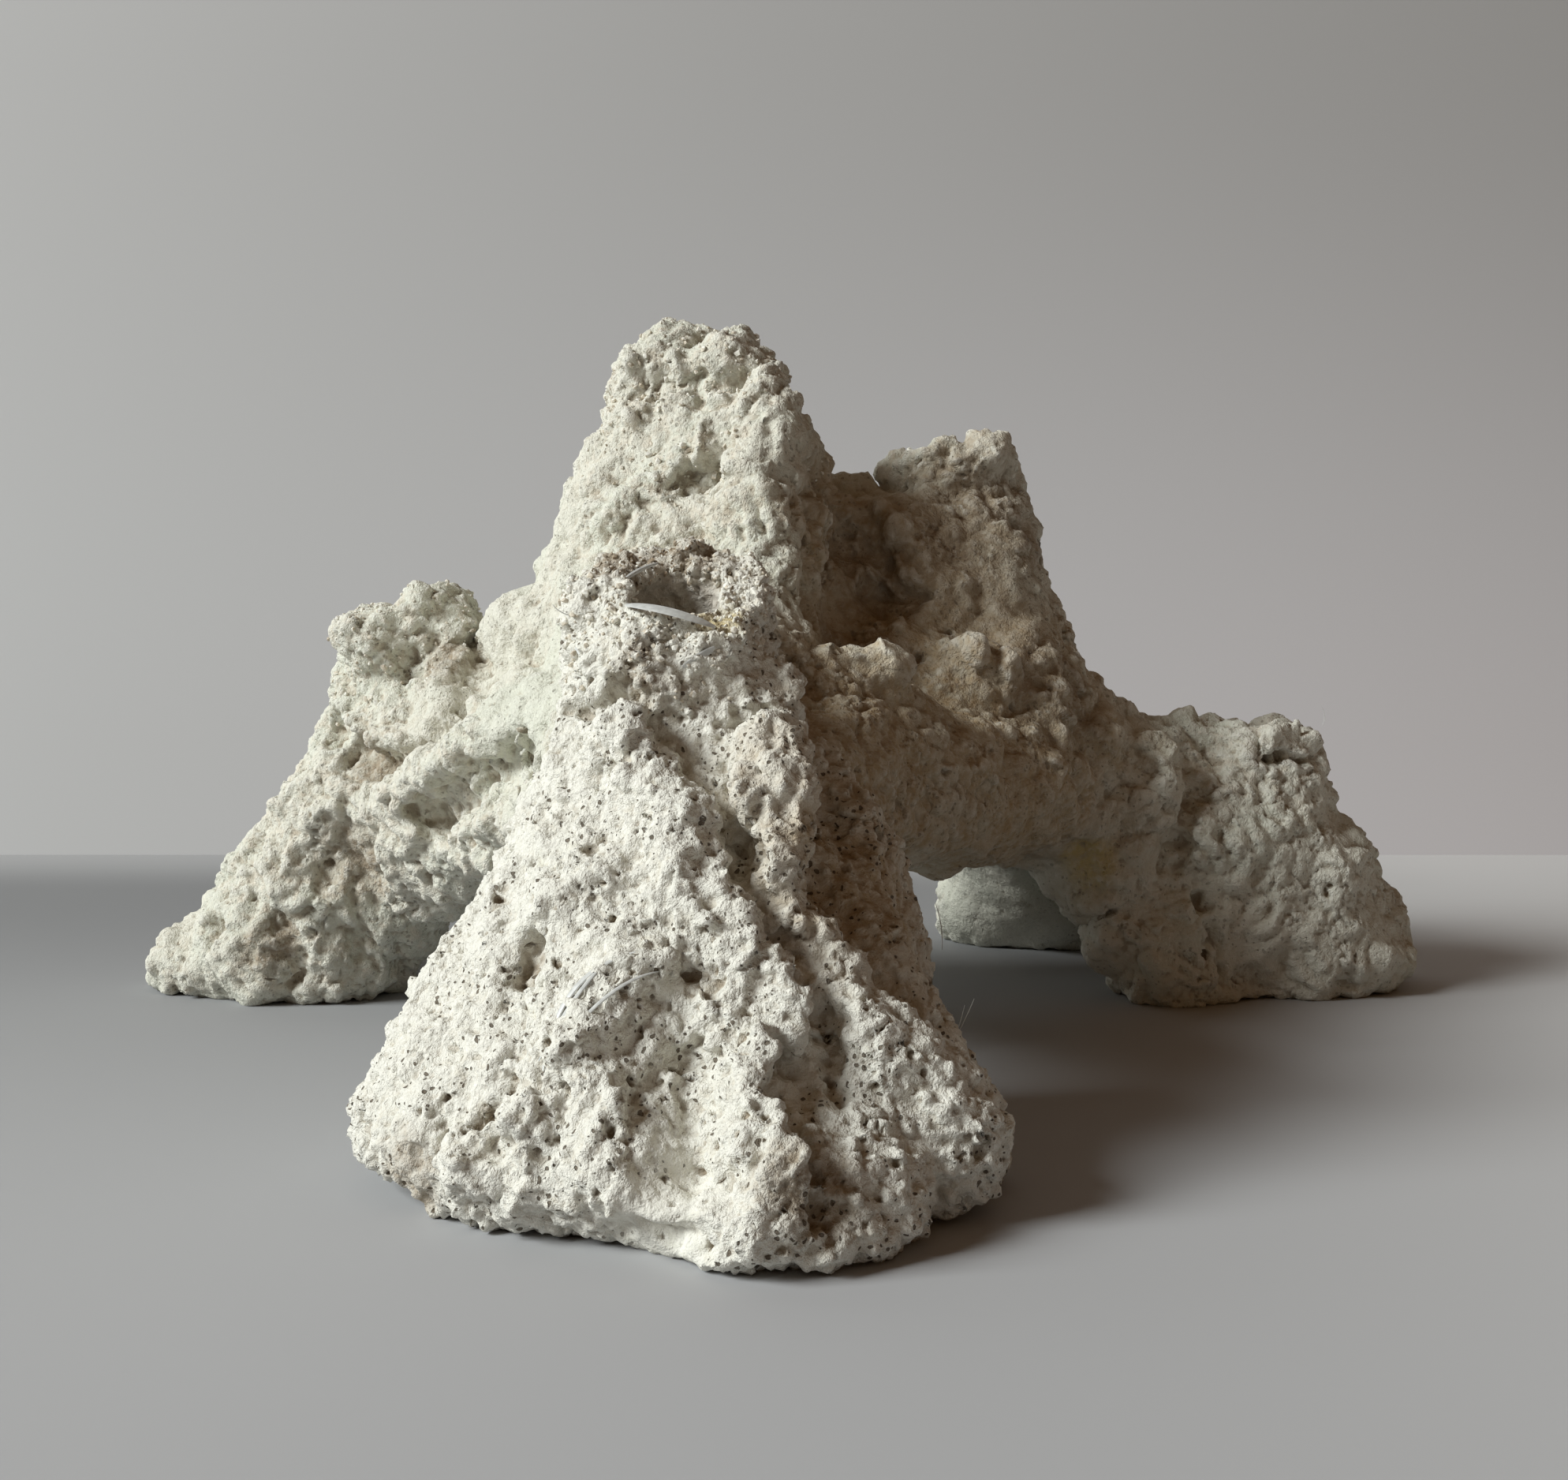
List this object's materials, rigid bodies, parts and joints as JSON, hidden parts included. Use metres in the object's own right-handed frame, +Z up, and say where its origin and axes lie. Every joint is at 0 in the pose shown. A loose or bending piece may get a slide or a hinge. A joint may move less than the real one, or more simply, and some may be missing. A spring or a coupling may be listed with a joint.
{
  "type": "aragonite dry rock",
  "caption": "Cast aragonite reef rock: a tall domed tower on splayed legs joined by arches, with round plug sockets on the legs.",
  "frame": {"origin": "middle of the bounding box in plan, on the surface that the feet stand on", "axes": "+Z up; the front leg points towards -Y, the right leg towards +X, the left leg towards -X and the back leg towards +Y"},
  "size_m": [0.1886, 0.1854, 0.0948],
  "materials": {
    "aragonite_cement": "matt, chalky off-white aragonite cement with pinholes and a sandy crust",
    "clear_fibre": "thin translucent reinforcing fibres that stick out of the cement"
  },
  "bodies": {
    "root": {"dry_rock": "aragonite_cement"}
  },
  "joints": []
}
